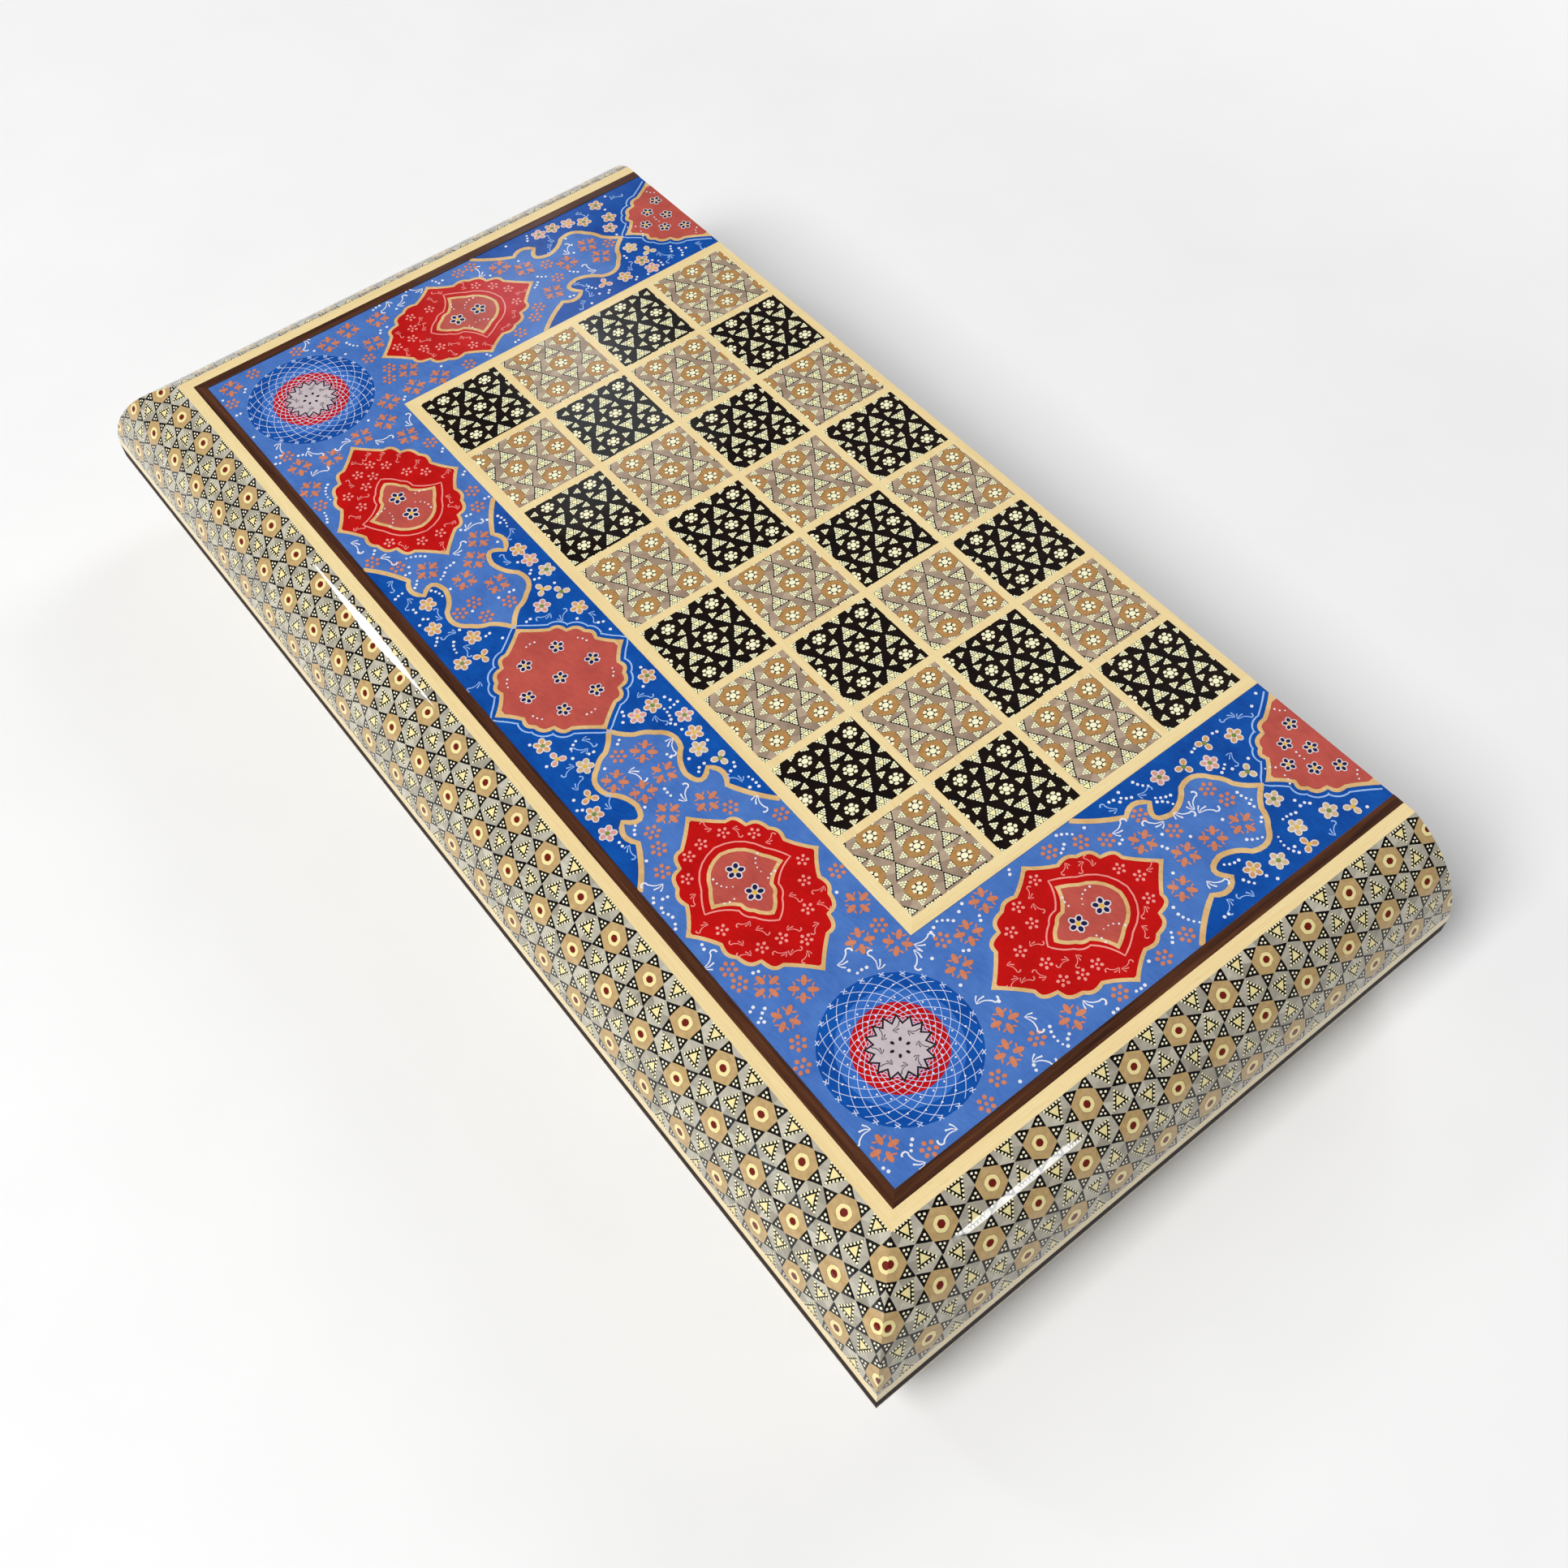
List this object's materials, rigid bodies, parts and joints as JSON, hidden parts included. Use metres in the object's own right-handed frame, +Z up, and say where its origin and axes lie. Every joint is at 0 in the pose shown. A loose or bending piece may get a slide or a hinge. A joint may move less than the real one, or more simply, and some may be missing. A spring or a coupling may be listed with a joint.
{
  "type": "folding chess and backgammon case",
  "caption": "Folding wooden games case: a chessboard inlaid across its two outer faces, a backgammon field inside, rounded inlaid edges and brass butt hinges.",
  "frame": {"origin": "centre of the closed case's footprint, on the surface it stands on", "axes": "+X along the long side, +Y towards the hinges, +Z up; closed at rest"},
  "size_m": [0.5, 0.2527, 0.0775],
  "materials": {
    "rosewood": "gloss",
    "dark_wood": "gloss",
    "light_wood": "gloss",
    "maple": "gloss",
    "plywood": "satin",
    "field_veneer": "gloss",
    "painted_panel": "gloss",
    "khatam_edge": "gloss",
    "khatam_light": "gloss",
    "khatam_dark": "gloss",
    "brass": "satin",
    "dice_plastic": "gloss"
  },
  "bodies": {
    "lower_tray": {"lower_base_panel": "plywood", "lower_chess_frame": "light_wood", "lower_dark_banding": "rosewood", "lower_dark_points": "dark_wood", "lower_dark_squares": "khatam_dark", "lower_field_rosette": "khatam_light", "lower_front_khatam": "khatam_edge", "lower_front_rail": "rosewood", "lower_front_rim_cap": "rosewood", "lower_hinge_leaves": "brass", "lower_hinge_rail": "rosewood", "lower_hinge_rim_cap": "rosewood", "lower_leaf_screws": "brass", "lower_left_khatam": "khatam_edge", "lower_left_rail": "rosewood", "lower_left_rim_cap": "rosewood", "lower_light_banding": "light_wood", "lower_light_points": "light_wood", "lower_light_squares": "khatam_light", "lower_painted_border": "painted_panel", "lower_playing_field": "field_veneer", "lower_right_khatam": "khatam_edge", "lower_right_rail": "rosewood", "lower_right_rim_cap": "rosewood", "lower_rim_banding": "light_wood", "lower_stringing": "light_wood", "lower_wall_linings": "field_veneer", "hinge_pins": "brass", "light_checkers": "maple", "dark_checkers": "dark_wood", "dice": "dice_plastic"},
    "upper_tray": {"upper_base_panel": "plywood", "upper_chess_frame": "light_wood", "upper_dark_banding": "rosewood", "upper_dark_points": "dark_wood", "upper_dark_squares": "khatam_dark", "upper_field_rosette": "khatam_light", "upper_front_khatam": "khatam_edge", "upper_front_rail": "rosewood", "upper_front_rim_cap": "rosewood", "upper_hinge_leaves": "brass", "upper_hinge_rail": "rosewood", "upper_hinge_rim_cap": "rosewood", "upper_leaf_screws": "brass", "upper_left_khatam": "khatam_edge", "upper_left_rail": "rosewood", "upper_left_rim_cap": "rosewood", "upper_light_banding": "light_wood", "upper_light_points": "light_wood", "upper_light_squares": "khatam_light", "upper_painted_border": "painted_panel", "upper_playing_field": "field_veneer", "upper_right_khatam": "khatam_edge", "upper_right_rail": "rosewood", "upper_right_rim_cap": "rosewood", "upper_rim_banding": "light_wood", "upper_stringing": "light_wood", "upper_wall_linings": "field_veneer"}
  },
  "joints": [
    {"name": "case_hinge", "type": "hinge", "parent": "lower_tray", "child": "upper_tray", "pos_m": [0, 0.12355, 0.03875], "axis": [-1, 0, 0], "range_deg": [0, 180]}
  ]
}
